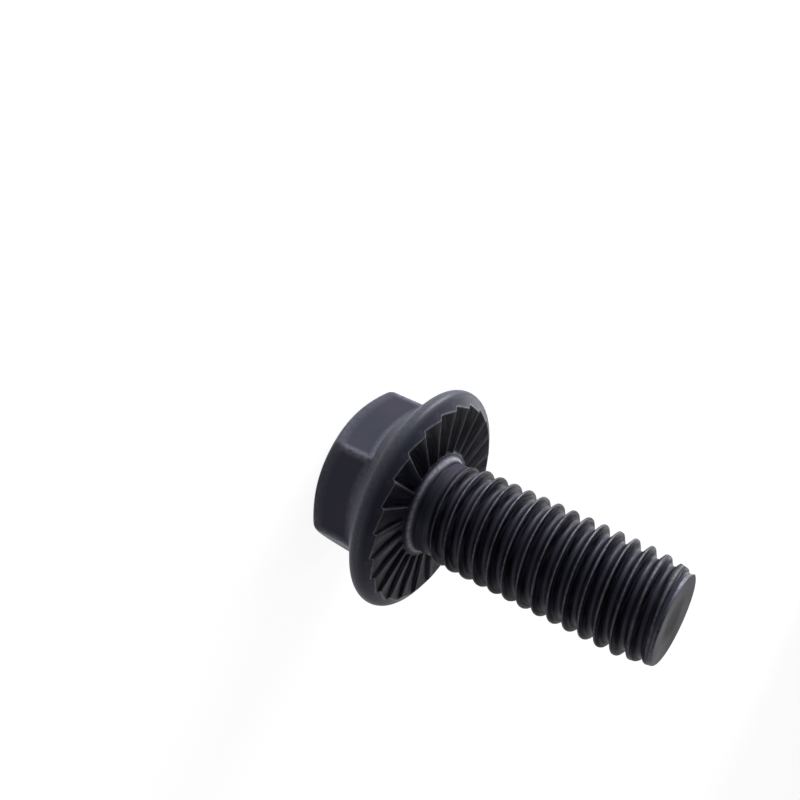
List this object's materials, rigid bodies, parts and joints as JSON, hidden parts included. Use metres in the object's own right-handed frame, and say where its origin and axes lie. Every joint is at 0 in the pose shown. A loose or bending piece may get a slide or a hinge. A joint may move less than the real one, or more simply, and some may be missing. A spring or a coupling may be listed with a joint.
{
  "type": "flange bolt",
  "caption": "Hexagon flange bolt with a serrated bearing face, a plain neck and a right-hand rolled thread, for clamping without a washer.",
  "frame": {"origin": "centre of the flat on top of the head, which the bolt stands on", "axes": "+Z along the shank towards the threaded end, +X through a corner of the hexagon"},
  "size_m": [0.0218, 0.0218, 0.0329],
  "materials": {
    "black_steel": "black oxide on steel, lightly oiled, satin"
  },
  "bodies": {
    "root": {"FLANGE_BOLT": "black_steel"}
  },
  "joints": []
}
